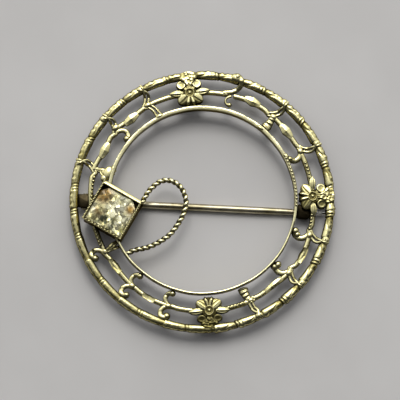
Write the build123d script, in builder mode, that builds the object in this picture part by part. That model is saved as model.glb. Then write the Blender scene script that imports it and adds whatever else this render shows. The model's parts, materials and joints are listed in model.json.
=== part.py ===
from build123d import *
import os
from collections import namedtuple
from math import acos, atan2, cos, degrees, hypot, radians, sin

# Scatter pin: an open ring of pierced scrollwork with three flowers, a square stone in a box
# setting, a loop of wire and a hinged pin stem across the back.
# Millimetres. The ring lies level and face up. Its axis is the Z axis, the top flower is
# towards +Y, the setting towards -X, and the lowest points of the hinge and catch are at z = 0.
# Angles are in degrees, counterclockwise from +X as seen from the front.

# Overall
outer_diameter = 30.0
ring_back = 1.05

# Outer rim: a rod ring bound with short ties, with a slanting rib in each bay between two ties
rod_diameter = 0.95
tie_count = 32
tie_length = 0.34
tie_raise = 0.05
rib_length = 0.3
rib_slant = 50.0

# Inner rim: an upright strip
opening_diameter = 20.8
strip_thickness = 0.3
strip_height = 1.35
strip_edge_round = 0.1

# Scrollwork between the rims. Its shares are of the gap between the rod ring and the strip
outer_gap_share = 0.47
wire_width_share = 0.12
wire_height = 0.5
wire_lift = 0.2
hook_width_share = 0.1
hook_ball_share = 0.17
hook_turn = 200.0
hook_bite = 0.1
lozenge_length_share = 0.515
lozenge_width_share = 0.3
lozenge_rise = 0.2
lozenge_slope = 38.0

# Flowers, with shares of the same gap and, for the petals' edge, of a petal's width
petal_length_share = 0.39
petal_width_share = 0.3
petal_reach_share = 0.545
petal_height = 1.05
petal_round_share = 0.265
leaf_width_share = 0.255
leaf_height = 0.8
leaf_slope = 32.0
leaf_crown = 0.2
tangent_leaf_share = 0.635
boss_share = 0.26
boss_rise = 0.18

# Setting and stone
setting_side = 4.9
setting_height = 3.1
setting_wall = 0.34
setting_floor = 0.3
setting_turn = -33.6
setting_angle = 184.1
setting_inset = 2.31
lip_overhang = 0.1
lip_depth = 0.16
ledge_width = 0.3
ledge_depth = 1.25
stone_clearance = 0.05
stone_corner_cut = 0.8
stone_table_side = 2.5
stone_step_side = 3.35
stone_girdle = 0.16
stone_crown = 0.72
stone_step_share = 0.55
stone_depth = 1.15
stone_keel_side = 0.6

# Hinge, stem and catch
hinge_angle = 176.1
catch_angle = -9.6
stem_diameter = 0.8
stem_catch_diameter = 0.68
stem_tip_diameter = 0.14
stem_taper_length = 4.0
stem_point_length = 1.9
stem_overrun = 2.9
knuckle_diameter = 0.86
knuckle_width = 0.8
ear_thickness = 0.3
ear_side_gap = 0.05
rivet_diameter = 0.4
rivet_hole_clearance = 0.02
knuckle_bore_clearance = 0.05
rivet_head_diameter = 0.66
rivet_head_thickness = 0.14
rivet_head_gap = 0.03
back_plate_thickness = 0.3
hinge_plate_overlap = 0.45
catch_bore_diameter = 0.96
catch_sheet = 0.3
catch_length = 1.2
throat_clearance = 0.038

# Loop
loop_wire_diameter = 0.5
loop_end_angle = 211.8
loop_top_clearance = 0.1

# What sits on the middle wire, clockwise from the top
Feature = namedtuple("Feature", "kind angle")
features = [
    Feature("flower", 92.9),
    Feature("anchor", 69.0),
    Feature("lozenge", 59.3),
    Feature("anchor", 46.9),
    Feature("lozenge", 35.6),
    Feature("anchor", 23.5),
    Feature("flower", -1.4),
    Feature("anchor", -21.3),
    Feature("lozenge", -32.6),
    Feature("anchor", -43.6),
    Feature("lozenge", -54.6),
    Feature("anchor", -68.1),
    Feature("flower", -90.1),
    Feature("anchor", -111.5),
    Feature("lozenge", -122.3),
    Feature("anchor", -133.0),
    Feature("lozenge", -145.2),
    Feature("anchor", -155.8),
    Feature("anchor", 159.6),
    Feature("lozenge", 148.4),
    Feature("anchor", 136.5),
    Feature("lozenge", 126.0),
    Feature("anchor", 115.8),
]

# Bends of the loop's wire between its two ends, as shares of the straight line from the
# setting's corner to the inner rim: how far along it, how far to its left, and the bend's radius
Bend = namedtuple("Bend", "along across radius")
loop_bends = [
    Bend(-0.28, 0.06, 1.00),
    Bend(-0.53, 0.14, 0.25),
    Bend(-0.68, 0.49, 0.27),
    Bend(-0.52, 0.76, 0.38),
    Bend(-0.16, 0.89, 0.50),
    Bend(0.44, 0.72, 0.80),
    Bend(0.78, 0.40, 1.10),
]

# Places that follow from the sizes above
rod_radius = rod_diameter / 2
rod_circle_radius = outer_diameter / 2 - tie_raise - rod_radius
rod_height = ring_back + tie_raise + rod_radius
rim_inside = rod_circle_radius - rod_radius
opening_radius = opening_diameter / 2
strip_outside = opening_radius + strip_thickness
band_gap = rim_inside - strip_outside
wire_radius = rim_inside - outer_gap_share * band_gap
wire_width = wire_width_share * band_gap
wire_bottom = ring_back + wire_lift
strip_middle = opening_radius + strip_thickness / 2
outer_reach = rim_inside - wire_radius
inner_reach = wire_radius - strip_outside


def polar(radius, angle):
    """The point at a radius and an angle about the ring's axis."""
    return Vector(radius * cos(radians(angle)), radius * sin(radians(angle)), 0)


def turned_to(kind):
    """One location for each feature of a kind, turned about the ring's axis."""
    return [Location((0, 0, 0), (0, 0, row.angle)) for row in features if row.kind == kind]


# Outer rim
with BuildPart() as rod_ring:
    with BuildSketch(Plane.XZ):
        with Locations((rod_circle_radius, rod_height)):
            Circle(rod_radius)
    revolve(axis=Axis.Z)

with BuildPart(Plane.XY.offset(rod_height)) as rim_ties:
    with PolarLocations(rod_circle_radius, tie_count):
        Cylinder(rod_radius + tie_raise, tie_length, rotation=(90, 0, 0))
    with PolarLocations(rod_circle_radius, tie_count, start_angle=180 / tie_count):
        Cylinder(rod_radius + tie_raise, rib_length, rotation=(90, 0, -rib_slant))

# Inner rim
with BuildPart() as inner_rim:
    with BuildSketch(Plane.XY.offset(ring_back)):
        Circle(strip_outside)
        Circle(opening_radius, mode=Mode.SUBTRACT)
    extrude(amount=strip_height)
    fillet(inner_rim.edges().group_by(Axis.Z)[-1], strip_edge_round)

# Middle wire
with BuildPart() as middle_wire:
    with BuildSketch(Plane.XY.offset(wire_bottom)):
        Circle(wire_radius + wire_width / 2)
        Circle(wire_radius - wire_width / 2, mode=Mode.SUBTRACT)
    extrude(amount=wire_height)

# One anchor: a hook out to the rod ring and a hook in to the strip, each ending in a ball.
# It is drawn with the ring's radius along +X, and bulges clockwise, towards -Y.
outer_hook_radius = (outer_reach + hook_bite) / 2
inner_hook_radius = (inner_reach + hook_bite) / 2
hook_lead = outer_hook_radius / 2
hook_width = hook_width_share * band_gap
hook_ball_diameter = hook_ball_share * band_gap
ball_height = wire_bottom + wire_height / 2

with BuildPart() as anchor:
    with BuildSketch(Plane.XY.offset(wire_bottom)):
        with BuildLine():
            JernArc((wire_radius, hook_lead), (0, -1), outer_hook_radius, hook_turn)
        trace(line_width=hook_width)
    extrude(amount=wire_height)
    with BuildSketch(Plane.XY.offset(wire_bottom)):
        with BuildLine():
            JernArc((wire_radius, hook_lead), (0, -1), inner_hook_radius, -hook_turn)
        trace(line_width=hook_width)
    extrude(amount=wire_height)
    with Locations((wire_radius, hook_lead + hook_width, ball_height)):
        with Locations(
            Location((2 * outer_hook_radius - hook_width, 0, 0), (0, 0, 180)),
            Location((hook_width - 2 * inner_hook_radius, 0, 0)),
        ):
            Sphere(hook_ball_diameter / 2)

# One lozenge: a diamond with its top cut to ridges
lozenge_length = lozenge_length_share * band_gap
lozenge_width = lozenge_width_share * band_gap

with BuildPart() as lozenge:
    with BuildSketch(Plane.XY.offset(wire_bottom)) as lozenge_outline:
        with BuildLine():
            Polyline(
                (wire_radius - lozenge_width / 2, 0),
                (wire_radius, lozenge_length / 2),
                (wire_radius + lozenge_width / 2, 0),
                (wire_radius, -lozenge_length / 2),
                close=True,
            )
        make_face()
    extrude(amount=wire_height)
    extrude(lozenge.faces().sort_by(Axis.Z)[-1], amount=lozenge_rise, taper=lozenge_slope)

# One flower: four round petals, four pointed leaves and a boss, drawn with the radius along +X
petal_length = petal_length_share * band_gap
petal_width = petal_width_share * band_gap
petal_middle = petal_reach_share * band_gap - petal_length / 2
leaf_width = leaf_width_share * band_gap
boss_diameter = boss_share * band_gap
leaf_bottom = ring_back + wire_lift / 2
Leaf = namedtuple("Leaf", "turn reach")
leaves = [
    Leaf(0, outer_reach + hook_bite),
    Leaf(90, tangent_leaf_share * band_gap),
    Leaf(180, inner_reach + hook_bite),
    Leaf(270, tangent_leaf_share * band_gap),
]

with BuildPart() as petals:
    with BuildSketch(Plane.XY.offset(leaf_bottom)):
        with Locations((wire_radius, 0)):
            with PolarLocations(petal_middle, 4, start_angle=45):
                Ellipse(petal_length / 2, petal_width / 2)
    extrude(amount=petal_height)
    fillet(petals.edges().group_by(Axis.Z)[-1], petal_round_share * petal_width)

with BuildPart() as flower:
    add(petals.part)
    for row in leaves:
        leaf_plane = Plane(
            origin=(wire_radius, 0, leaf_bottom),
            x_dir=(cos(radians(row.turn)), sin(radians(row.turn)), 0),
            z_dir=(0, 0, 1),
        )
        with BuildSketch(leaf_plane) as leaf_outline:
            with BuildLine():
                ThreePointArc((0, 0), (row.reach / 2, leaf_width / 2), (row.reach, 0))
                ThreePointArc((row.reach, 0), (row.reach / 2, -leaf_width / 2), (0, 0))
            make_face()
        extrude(amount=leaf_height)
        leaf_top = leaf_outline.sketch.moved(Location((0, 0, leaf_height)))
        extrude(leaf_top, amount=leaf_crown, taper=leaf_slope)
    with Locations((wire_radius, 0, leaf_bottom + petal_height + boss_rise - boss_diameter / 2)):
        Sphere(boss_diameter / 2)

# Setting: a square box with a closed floor, a ledge under the stone and a lip over its edge
setting_centre = polar(wire_radius - setting_inset, setting_angle)
setting_plane = Plane(
    origin=(setting_centre.X, setting_centre.Y, ring_back),
    x_dir=(cos(radians(setting_turn)), sin(radians(setting_turn)), 0),
    z_dir=(0, 0, 1),
)
pocket_side = setting_side - 2 * setting_wall
lip_side = pocket_side - 2 * lip_overhang
ledge_side = pocket_side - 2 * ledge_width
ledge_height = setting_height - ledge_depth

with BuildPart() as setting:
    with BuildSketch(setting_plane):
        Rectangle(setting_side, setting_side)
    extrude(amount=setting_height)
    with BuildSketch(setting_plane.offset(setting_floor)):
        Rectangle(ledge_side, ledge_side)
    extrude(amount=ledge_height - setting_floor, mode=Mode.SUBTRACT)
    with BuildSketch(setting_plane.offset(ledge_height)):
        Rectangle(pocket_side, pocket_side)
    extrude(amount=ledge_depth - lip_depth, mode=Mode.SUBTRACT)
    with BuildSketch(setting_plane.offset(setting_height - lip_depth)):
        Rectangle(lip_side, lip_side)
    extrude(amount=lip_depth, mode=Mode.SUBTRACT)

# The room that the setting takes out of the rings it is soldered between
with BuildPart() as setting_room:
    with BuildSketch(setting_plane.offset(-ring_back)):
        Rectangle(setting_side - setting_wall, setting_side - setting_wall)
    extrude(amount=ring_back + setting_height)

# Loop: a plain round wire bent from the setting's inner corner round to the inner rim
loop_height = ring_back + strip_height - loop_top_clearance - loop_wire_diameter / 2
wall_middle = (setting_side - setting_wall) / 2
setting_corner = setting_plane.from_local_coords((wall_middle, wall_middle))
loop_start = Vector(setting_corner.X, setting_corner.Y, loop_height)
loop_end = polar(strip_middle, loop_end_angle) + Vector(0, 0, loop_height)
loop_chord = loop_end - loop_start
loop_along = loop_chord.normalized()
loop_across = Vector(-loop_along.Y, loop_along.X, 0)


def loop_point(row):
    """A bend's corner in the ring's own coordinates."""
    return loop_start + (loop_along * row.along + loop_across * row.across) * loop_chord.length


with BuildPart() as loop:
    with BuildLine() as loop_path:
        FilletPolyline(
            [loop_start] + [loop_point(row) for row in loop_bends] + [loop_end],
            radius=[row.radius * loop_chord.length for row in loop_bends],
        )
    with BuildSketch(Plane(loop_path.line @ 0, z_dir=loop_path.line % 0)):
        Circle(loop_wire_diameter / 2)
    sweep()

# The stem's line runs from the hinge to the catch
throat_angle = degrees(acos((stem_catch_diameter / 2 + throat_clearance) / (catch_bore_diameter / 2)))
catch_outside = catch_bore_diameter / 2 + catch_sheet
stem_height = catch_outside * sin(radians(throat_angle))
hinge_point = polar((wire_radius + wire_width / 2 + rim_inside) / 2 - hook_bite, hinge_angle)
catch_point = polar(strip_outside + (inner_reach - wire_width / 2) / 2, catch_angle)
stem_run = catch_point - hinge_point
stem_length = hypot(stem_run.X, stem_run.Y)
stem_turn = degrees(atan2(stem_run.Y, stem_run.X))
stem_along = Vector(cos(radians(stem_turn)), sin(radians(stem_turn)), 0)
stem_across = Vector(-stem_along.Y, stem_along.X, 0)
stem_side = Plane(
    origin=(hinge_point.X, hinge_point.Y, stem_height),
    x_dir=stem_along,
    z_dir=-stem_across,
)
back_plate_top = ring_back + back_plate_thickness

# Hinge: a back plate soldered to the rings and the setting, with two ears
ears_outside = knuckle_width + 2 * ear_side_gap + 2 * ear_thickness
ear_radius = stem_height
plate_start = hypot(hinge_point.X, hinge_point.Y) - rim_inside - hinge_plate_overlap
plate_end = hypot(hinge_point.X, hinge_point.Y) - wire_radius + wire_width / 2 + hinge_plate_overlap

hinge_plate_plane = Plane(
    origin=(hinge_point.X, hinge_point.Y, ring_back),
    x_dir=stem_along,
    z_dir=(0, 0, 1),
)

with BuildPart() as hinge_mount:
    with BuildSketch(hinge_plate_plane):
        with Locations(((plate_start + plate_end) / 2, 0)):
            Rectangle(plate_end - plate_start, ears_outside)
    extrude(amount=back_plate_thickness)
    with BuildSketch(stem_side):
        Circle(ear_radius)
        with Locations((0, (back_plate_top - stem_height) / 2)):
            Rectangle(2 * ear_radius, back_plate_top - stem_height)
    extrude(amount=ears_outside / 2, both=True)
    with BuildSketch(stem_side):
        with Locations((0, (ring_back - 2 * stem_height) / 2)):
            Rectangle(4 * ear_radius, ring_back)
    extrude(amount=ears_outside / 2 - ear_thickness, both=True, mode=Mode.SUBTRACT)
    with BuildSketch(stem_side):
        Circle(rivet_diameter / 2 + rivet_hole_clearance)
    extrude(amount=ears_outside, both=True, mode=Mode.SUBTRACT)

# Catch: a strip bent to a C that is open to the back, under a plate between wire and inner rim
catch_section = Plane(
    origin=(catch_point.X, catch_point.Y, stem_height),
    x_dir=stem_across,
    z_dir=stem_along,
)
throat_depth = 2 * catch_outside
throat_half_width = throat_depth / sin(radians(throat_angle)) * cos(radians(throat_angle))
catch_plate_length = inner_reach + wire_width / 2 + strip_thickness
catch_plate_plane = Plane(
    origin=(catch_point.X, catch_point.Y, ring_back),
    x_dir=stem_along,
    z_dir=(0, 0, 1),
)

with BuildPart() as catch:
    with BuildSketch(catch_section):
        Circle(catch_outside)
        Circle(catch_bore_diameter / 2, mode=Mode.SUBTRACT)
        with BuildLine():
            Polyline(
                (0, 0),
                (throat_half_width, -throat_depth),
                (-throat_half_width, -throat_depth),
                close=True,
            )
        make_face(mode=Mode.SUBTRACT)
    extrude(amount=catch_length / 2, both=True)
    with BuildSketch(catch_plate_plane):
        Rectangle(catch_plate_length, 2 * catch_outside)
    extrude(amount=back_plate_thickness)

# The soldered frame
with BuildPart() as brooch_frame:
    add([rod_ring.part, rim_ties.part, middle_wire.part, inner_rim.part])
    with Locations(*turned_to("anchor")):
        add(anchor.part)
    with Locations(*turned_to("lozenge")):
        add(lozenge.part)
    with Locations(*turned_to("flower")):
        add(flower.part)
    add(setting_room.part, mode=Mode.SUBTRACT)
    add([setting.part, loop.part, hinge_mount.part, catch.part])

# Stone: a square with cut corners, a stepped crown, a thin girdle and a keeled back
stone_side = pocket_side - 2 * stone_clearance
stone_slope = stone_depth / ((stone_side - stone_keel_side) / 2)
girdle_height = ledge_height + stone_clearance + stone_slope * (stone_side - ledge_side) / 2
Level = namedtuple("Level", "side height")
crown_levels = [
    Level(stone_side, girdle_height + stone_girdle),
    Level(stone_step_side, girdle_height + stone_girdle + stone_step_share * stone_crown),
    Level(stone_table_side, girdle_height + stone_girdle + stone_crown),
]
back_levels = [
    Level(stone_side, girdle_height),
    Level(stone_keel_side, girdle_height - stone_depth),
]


def stone_outline(row):
    """The cut-cornered square of one level of the stone."""
    with BuildSketch(setting_plane.offset(row.height)) as outline:
        Rectangle(row.side, row.side)
        chamfer(outline.vertices(), stone_corner_cut * row.side / stone_side)
    return outline.sketch


with BuildPart() as stone:
    add(stone_outline(back_levels[0]))
    extrude(amount=stone_girdle)
    loft([stone_outline(row) for row in crown_levels], ruled=True)
    loft([stone_outline(row) for row in back_levels], ruled=True)

# Pin stem: a tapered pin with a knuckle at the hinge
taper_start = stem_length - catch_length / 2 - stem_taper_length
tip_end = stem_length + stem_overrun

with BuildPart() as pin_stem:
    with BuildSketch(stem_side):
        with BuildLine():
            Polyline(
                (0, 0),
                (0, stem_diameter / 2),
                (taper_start, stem_diameter / 2),
                (taper_start + stem_taper_length, stem_catch_diameter / 2),
                (tip_end - stem_point_length, stem_catch_diameter / 2),
                (tip_end, stem_tip_diameter / 2),
                (tip_end, 0),
                close=True,
            )
        make_face()
    revolve(axis=Axis(stem_side.origin, stem_along))
    with BuildSketch(stem_side):
        Circle(knuckle_diameter / 2)
    extrude(amount=knuckle_width / 2, both=True)
    with BuildSketch(stem_side):
        Circle(rivet_diameter / 2 + knuckle_bore_clearance)
    extrude(amount=knuckle_width, both=True, mode=Mode.SUBTRACT)

# Hinge rivet: a shank through both ears with a flat head at each end
shank_half = ears_outside / 2 + rivet_head_gap
with BuildPart() as hinge_rivet:
    with BuildSketch(stem_side):
        Circle(rivet_diameter / 2)
    extrude(amount=shank_half, both=True)
    for head_start, head_way in ((shank_half, 1), (-shank_half, -1)):
        with BuildSketch(stem_side.offset(head_start)):
            Circle(rivet_head_diameter / 2)
        extrude(amount=rivet_head_thickness * head_way)

os.makedirs("parts", exist_ok=True)

brooch_frame.part.label = "brooch_frame"
export_step(brooch_frame.part, "parts/brooch_frame.step")
stone.part.label = "stone"
export_step(stone.part, "parts/stone.step")
pin_stem.part.label = "pin_stem"
export_step(pin_stem.part, "parts/pin_stem.step")
hinge_rivet.part.label = "hinge_rivet"
export_step(hinge_rivet.part, "parts/hinge_rivet.step")
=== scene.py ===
import json
from collections import namedtuple
from math import atan2, cos, hypot, pi, radians, sin

import bmesh
import bpy
import numpy as np
from mathutils import Matrix, Vector


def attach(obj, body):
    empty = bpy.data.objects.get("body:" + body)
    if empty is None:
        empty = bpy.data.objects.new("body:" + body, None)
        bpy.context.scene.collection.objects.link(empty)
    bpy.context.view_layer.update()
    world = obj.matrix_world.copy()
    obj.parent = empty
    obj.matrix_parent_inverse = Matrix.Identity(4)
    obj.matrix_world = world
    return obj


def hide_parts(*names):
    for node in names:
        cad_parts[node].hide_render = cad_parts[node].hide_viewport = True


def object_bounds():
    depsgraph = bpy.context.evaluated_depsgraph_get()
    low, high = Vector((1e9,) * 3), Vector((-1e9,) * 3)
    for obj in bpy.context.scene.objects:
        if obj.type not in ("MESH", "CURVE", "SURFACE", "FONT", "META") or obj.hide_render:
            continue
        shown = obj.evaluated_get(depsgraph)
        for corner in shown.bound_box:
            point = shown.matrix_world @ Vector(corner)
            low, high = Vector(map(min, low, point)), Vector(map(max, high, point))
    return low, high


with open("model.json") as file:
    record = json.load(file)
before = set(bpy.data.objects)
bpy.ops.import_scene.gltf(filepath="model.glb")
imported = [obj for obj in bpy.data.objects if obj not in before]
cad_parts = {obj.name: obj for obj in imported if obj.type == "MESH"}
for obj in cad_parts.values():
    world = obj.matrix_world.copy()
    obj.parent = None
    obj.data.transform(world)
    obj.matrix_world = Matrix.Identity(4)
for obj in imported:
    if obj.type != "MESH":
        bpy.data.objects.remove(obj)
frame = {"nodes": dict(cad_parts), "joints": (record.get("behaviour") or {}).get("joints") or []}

# Scatter pin: the worn gilt ring with its scrollwork, flowers and rope loop, the foiled stone
# and the steel stem. Lengths are in millimetres unless a name says otherwise, and turn into
# metres when a piece is made. Angles are in degrees, counterclockwise from +X.
MM = 0.001
dice = np.random.default_rng(11)
cad_low, cad_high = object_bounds()
joint = frame["joints"][0]
UP = np.array([0.0, 0.0, 1.0])

# Rims, as in the solids
outer_radius = (cad_high.x - cad_low.x) / 2 / MM
ring_back = 1.05
rod_radius = 0.525
rod_circle_radius = outer_radius - rod_radius
rod_height = ring_back + rod_radius
strip_inside = 10.4
strip_thickness = 0.3
strip_height = 1.35
strip_outside = strip_inside + strip_thickness
strip_middle = strip_inside + strip_thickness / 2
rim_inside = rod_circle_radius - 0.475
wire_radius = rim_inside - 0.47 * (rim_inside - strip_outside)

# Relief of the outer rim: a tie at each bay's start, and long leaves between two ties
bay_count = 32
first_tie = 91.5
rim_core = 0.44
rim_power = 2.25
rim_fullness = 0.8
tie_rise = 0.11
tie_half = 0.09
tie_pair = 0.17
tie_slant = 0.2
tie_groove = 0.08
anchor_clear = 4.0
leaf_rise = 0.09
leaves_around = 3
groove_half = 0.1
cone_rise = 0.21
edge_rise = 0.035
flower_bed = 0.12
flower_bed_half = 4.2

# Scrollwork
wire_bottom = ring_back + 0.2
wire_height = 0.5
wire_middle = wire_bottom + wire_height / 2
wire_top = wire_bottom + wire_height
wire_width = 0.6
bead_radius = 0.19
bead_pitch = 0.43
section_power = 0.8
path_step = 0.07
strand_length = 3.1
slim_length = 2.2
flower_reach = 6.0
hook_leave = 0.8
hook_arrive = 4.6
club_rise = 0.34
milgrained = ((16.5, 8.5), (-9.5, -18.5), (-81, -72), (-181, -196), (-170, -160))

# Setting
setting_side = 4.9
setting_height = 3.1
setting_wall = 0.34
setting_turn = -33.6
setting_angle = 184.1
setting_inset = 2.31

# Loop
loop_height = 2.05
strand_radius = 0.17
strand_offset = 0.14
strand_pitch = 1.3


def polar(radius, angle, height=0.0):
    """The point at a radius, an angle about the ring's axis and a height."""
    return np.array([radius * cos(radians(angle)), radius * sin(radians(angle)), height])


def unit(rows):
    """Rows of vectors, each brought to length 1."""
    return rows / np.linalg.norm(rows, axis=-1, keepdims=True)


class Shape:
    """Points, faces and crest values of one piece. A crest value is near 1 where the surface
    stands proud and wears bright, and near 0 deep in a groove. The crest values also paint
    light into the colour: low values are painted shade in grooves and on undersides, and high
    values a painted highlight on tops."""

    def __init__(self):
        self.points = []
        self.faces = []
        self.crests = []
        self.count = 0

    def grid(self, points, crest, along=False):
        """Quads through rings of points. along joins the last ring to the first. Without it the
        first and the last ring are closed."""
        rows, columns = points.shape[:2]
        index = self.count + np.arange(rows * columns).reshape(rows, columns)
        looped = np.vstack([index, index[:1]]) if along else index
        looped = np.hstack([looped, looped[:, :1]])
        corners = (looped[:-1, :-1], looped[:-1, 1:], looped[1:, 1:], looped[1:, :-1])
        self.faces += np.stack(corners, axis=-1).reshape(-1, 4).tolist()
        if not along:
            self.faces += [index[0][::-1].tolist(), index[-1].tolist()]
        self.points.append(points.reshape(-1, 3))
        self.crests.append(np.broadcast_to(crest, (rows, columns)).reshape(-1))
        self.count += rows * columns

    def piece(self, name, body, node, slot, material, crease):
        """The shape as a Blender object that stands for a CAD node."""
        mesh = bpy.data.meshes.new(name)
        mesh.from_pydata((np.concatenate(self.points) * MM).tolist(), [], self.faces)
        crest = mesh.attributes.new("crest", "FLOAT", "POINT")
        crest.data.foreach_set("value", np.concatenate(self.crests).astype(np.float32))
        work = bmesh.new()
        work.from_mesh(mesh)
        bmesh.ops.recalc_face_normals(work, faces=work.faces)
        work.to_mesh(mesh)
        work.free()
        mesh.shade_smooth()
        mesh.set_sharp_from_angle(angle=radians(crease))
        mesh.materials.append(material)
        piece = bpy.data.objects.new(name, mesh)
        bpy.context.scene.collection.objects.link(piece)
        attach(piece, body)
        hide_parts(node)


def smooth_path(points, steps=8):
    """A smooth line through the points, with so many steps between two of them."""
    p = np.array(points, float)
    p = np.vstack([2 * p[0] - p[1], p, 2 * p[-1] - p[-2]])
    t = np.linspace(0, 1, steps, endpoint=False)[:, None]
    spans = [
        (2 * b + (c - a) * t + (2 * a - 5 * b + 4 * c - d) * t**2 + (3 * b - a - 3 * c + d) * t**3) / 2
        for a, b, c, d in zip(p[:-3], p[1:-2], p[2:-1], p[3:])
    ]
    return np.vstack(spans + [p[-2:-1]])


def swell(value, middle, half, power=2):
    """A smooth bump of height 1 at the middle value."""
    return np.exp(-(((value - middle) / half) ** power))


def run_along(path):
    """The length of the path up to each of its points."""
    return np.concatenate([[0.0], np.cumsum(np.linalg.norm(np.diff(path, axis=0), axis=1))])


def even_path(path, step):
    """The path again, with points at even distances of about step."""
    run = run_along(path)
    at = np.linspace(0, run[-1], max(3, round(run[-1] / step) + 1))
    return np.stack([np.interp(at, run, path[:, axis]) for axis in range(3)], axis=1)


def directions(path):
    """The side and the upward normal at each point of a path."""
    ahead = unit(np.gradient(path, axis=0))
    side = unit(np.cross(UP, ahead))
    return side, np.cross(ahead, side)


def sweep(shape, path, half_width, half_height, across, above, crest):
    """A section, given as shares across and above, swept along a path."""
    side, normal = directions(path)
    wide = side[:, None, :] * half_width[:, None, None] * across[None, :, None]
    high = normal[:, None, :] * half_height[:, None, None] * above[None, :, None]
    shape.grid(path[:, None, :] + wide + high, crest)


def rounded_square(turn):
    """How far across and above a section with full corners lies at each turn."""
    return [np.sign(share) * np.abs(share) ** section_power for share in (np.cos(turn), np.sin(turn))]


def wire(shape, path, width, height, sides=16, round_ends=0.0, wear=1.0):
    """A wire round the path. wear lowers its crest values, and carries the loop's painted highlights and
    painted shade along its twist.
    """
    run = run_along(path)
    taper = np.ones(len(path))
    if round_ends:
        end = np.minimum(run, run[-1] - run)
        taper = np.sqrt(1 - (1 - np.clip(end / round_ends, 0.03, 1)) ** 2)
    across, above = rounded_square((np.arange(sides) + 0.5) * 2 * pi / sides)
    # Crest values rise from the underside to the top: wear bright on top, painted shade underneath.
    crest = (0.5 + 0.5 * above)[None, :] * wear
    sweep(shape, path, width / 2 * taper, height / 2 * taper, across, above, crest)


def circle(sides, x_axis, y_axis):
    """Directions all round in the plane of two axes."""
    turn = np.arange(sides) * 2 * pi / sides
    return np.cos(turn)[:, None] * x_axis + np.sin(turn)[:, None] * y_axis


def ball(shape, centre, radius, rings, sides, squash=1.0, turn=0.0):
    """A round grain. radius may be two numbers: along a turn about +Z, and across it."""
    along, across = np.broadcast_to(radius, 2)
    lift = np.radians(np.linspace(-82, 82, rings))[:, None, None]
    flat = circle(sides, along * polar(1, turn), across * polar(1, turn + 90))
    points = np.cos(lift) * flat + min(along, across) * squash * np.sin(lift) * UP
    # Tops of the grains bright and undersides dark: wear on top, painted shade underneath.
    shape.grid(centre + points, (0.55 + 0.45 * np.sin(lift))[:, :, 0])


def leaf(shape, line, width, rise):
    """A pointed leaf along a line of points, with a ridge down its middle."""
    path = smooth_path(line, 6)
    path = even_path(path, run_along(path)[-1] / 18)
    part = np.linspace(0.02, 0.98, len(path))
    fullness = np.sin(pi * part**0.85) ** 0.8
    ripple = 1 + 0.12 * np.sin(part * 9 * pi)
    across = np.array([-1.0, -0.75, -0.3, 0.0, 0.3, 0.75, 1.0, 0.6, -0.6])
    above = np.array([0.0, 0.6, 0.55, 1.0, 0.55, 0.6, 0.0, -0.6, -0.6])
    # The leaf's ridge bright and its underside dark: wear on the ridge, painted shade underneath.
    crest = np.clip(0.3 + 0.7 * above, 0, 1)[None, :]
    sweep(shape, path, width / 2 * fullness, rise * fullness * ripple, across, above, crest)


def club(shape, path, width, rise):
    """A leaf that widens to a blunt end, with ridges across it."""
    path = even_path(path, run_along(path)[-1] / 40)
    part = np.linspace(0, 1, len(path))
    ridges = 0.5 + 0.5 * np.cos(part * 8.5 * pi)
    half = width / 2 * (0.4 + 0.6 * part**0.8) * np.sqrt(1 - np.clip((part - 0.86) / 0.145, 0, 1) ** 2)
    lift = rise * (0.75 + 0.25 * ridges) * np.sqrt(1 - np.clip((part - 0.9) / 0.11, 0, 1) ** 2)
    across, above = rounded_square(np.arange(16) * 2 * pi / 16)
    # Ridges and top bright, underside dark: wear, and painted shade underneath.
    crest = np.clip(0.5 + 0.5 * ridges[:, None] + 0.4 * above[None, :], 0, 1)
    sweep(shape, path, half * (0.94 + 0.06 * ridges), lift, across, above, crest)


def beads(shape, path, radius, pitch):
    """A row of grains along a path."""
    for centre in even_path(path, pitch):
        ball(shape, centre, radius * dice.uniform(0.88, 1.08), 6, 10)


def arc(radius, start, end, height):
    """Points round part of a circle about the ring's axis."""
    count = max(3, int(abs(end - start)) + 1)
    return np.array([polar(radius, a, height) for a in np.linspace(start, end, count)])


# What sits on the middle wire, clockwise from the top. outward is how far outside the wire's
# circle it sits. outer and inner name an anchor's hooks, and outer a lozenge's cut
Feature = namedtuple("Feature", "kind angle outward outer inner", defaults=("", ""))
features = [
    Feature("flower", 92.7, 0.0),
    Feature("anchor", 69.0, 0.15, "sweep", "stray"),
    Feature("lozenge", 59.6, 0.3, "ridged"),
    Feature("anchor", 46.9, 0.15, "double", "leaf"),
    Feature("lozenge", 36.2, 0.0, "ridged"),
    Feature("anchor", 23.5, 0.0, "double", "arm"),
    Feature("flower", -1.6, 0.0),
    Feature("anchor", -21.3, 0.25, "double", "arm"),
    Feature("lozenge", -32.7, 0.4, "dished"),
    Feature("anchor", -43.6, 0.28, "double", "arm"),
    Feature("lozenge", -53.8, 0.0, "long"),
    Feature("anchor", -68.1, 0.08, "short", "leaf"),
    Feature("flower", -90.3, 0.0),
    Feature("anchor", -111.5, 0.05, "curl_out", "curl_in"),
    Feature("lozenge", -122.5, 0.08, "small"),
    Feature("anchor", -133.0, 0.0, "curl_out", "curl_in"),
    Feature("lozenge", -146.6, -0.2, "dished"),
    Feature("anchor", -155.8, -0.1, "curl_out", "stub"),
    Feature("setting", -175.9, 0.0),
    Feature("anchor", -200.4, 0.35, "double", "stub"),
    Feature("lozenge", -211.3, 0.0, "ridged"),
    Feature("anchor", -223.5, 0.32, "double", "curl_in"),
    Feature("lozenge", -233.1, -0.1, "ridged"),
    Feature("anchor", -244.2, 0.1, "double", "touch"),
]


def placed(kind):
    """The features of one kind."""
    return [row for row in features if row.kind == kind]


def is_bottom(flower):
    """Whether a flower is the bottom one. Its fan is drawn in, and the rim isn't cut for it."""
    return flower.angle < -45


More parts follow.
